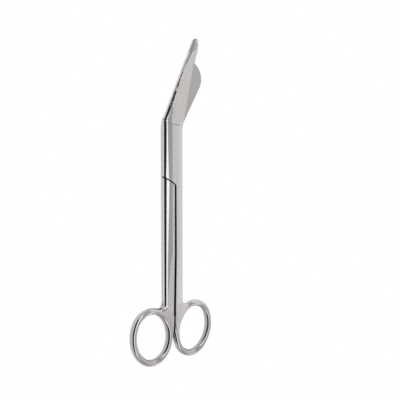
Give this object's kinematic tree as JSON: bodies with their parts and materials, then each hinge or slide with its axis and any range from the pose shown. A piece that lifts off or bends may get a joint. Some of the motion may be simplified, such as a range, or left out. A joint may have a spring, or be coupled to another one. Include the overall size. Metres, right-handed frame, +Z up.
{
  "type": "bandage scissors",
  "caption": "Steel bandage scissors with angled blades, a blunt probe tip on the longer blade, a lap joint on a pivot screw, straight shanks and oval finger rings.",
  "frame": {"origin": "under the middle of the closed scissors' length and width, in the plane of the back faces they lie on", "axes": "+X across the scissors to the side the blades are bent to, +Y along the shanks from the finger rings to the probe tip, +Z up, from the back face to the front face; the pivot axis runs along +Z at Y = 27.2 mm"},
  "size_m": [0.0594, 0.1848, 0.006],
  "materials": {
    "satin_steel": "satin ground flat faces, polished half-round sides and rings",
    "screw_steel": "turned and satin ground"
  },
  "bodies": {
    "cutting_half": {"cutting_blade_half": "satin_steel"},
    "probe_half": {"probe_blade_half": "satin_steel", "pivot_screw": "screw_steel"}
  },
  "joints": [
    {"name": "pivot", "type": "hinge", "parent": "cutting_half", "child": "probe_half", "pos_m": [0, 0.0272, 0.003], "axis": [0, 0, 1], "range_deg": [0, 75]}
  ]
}
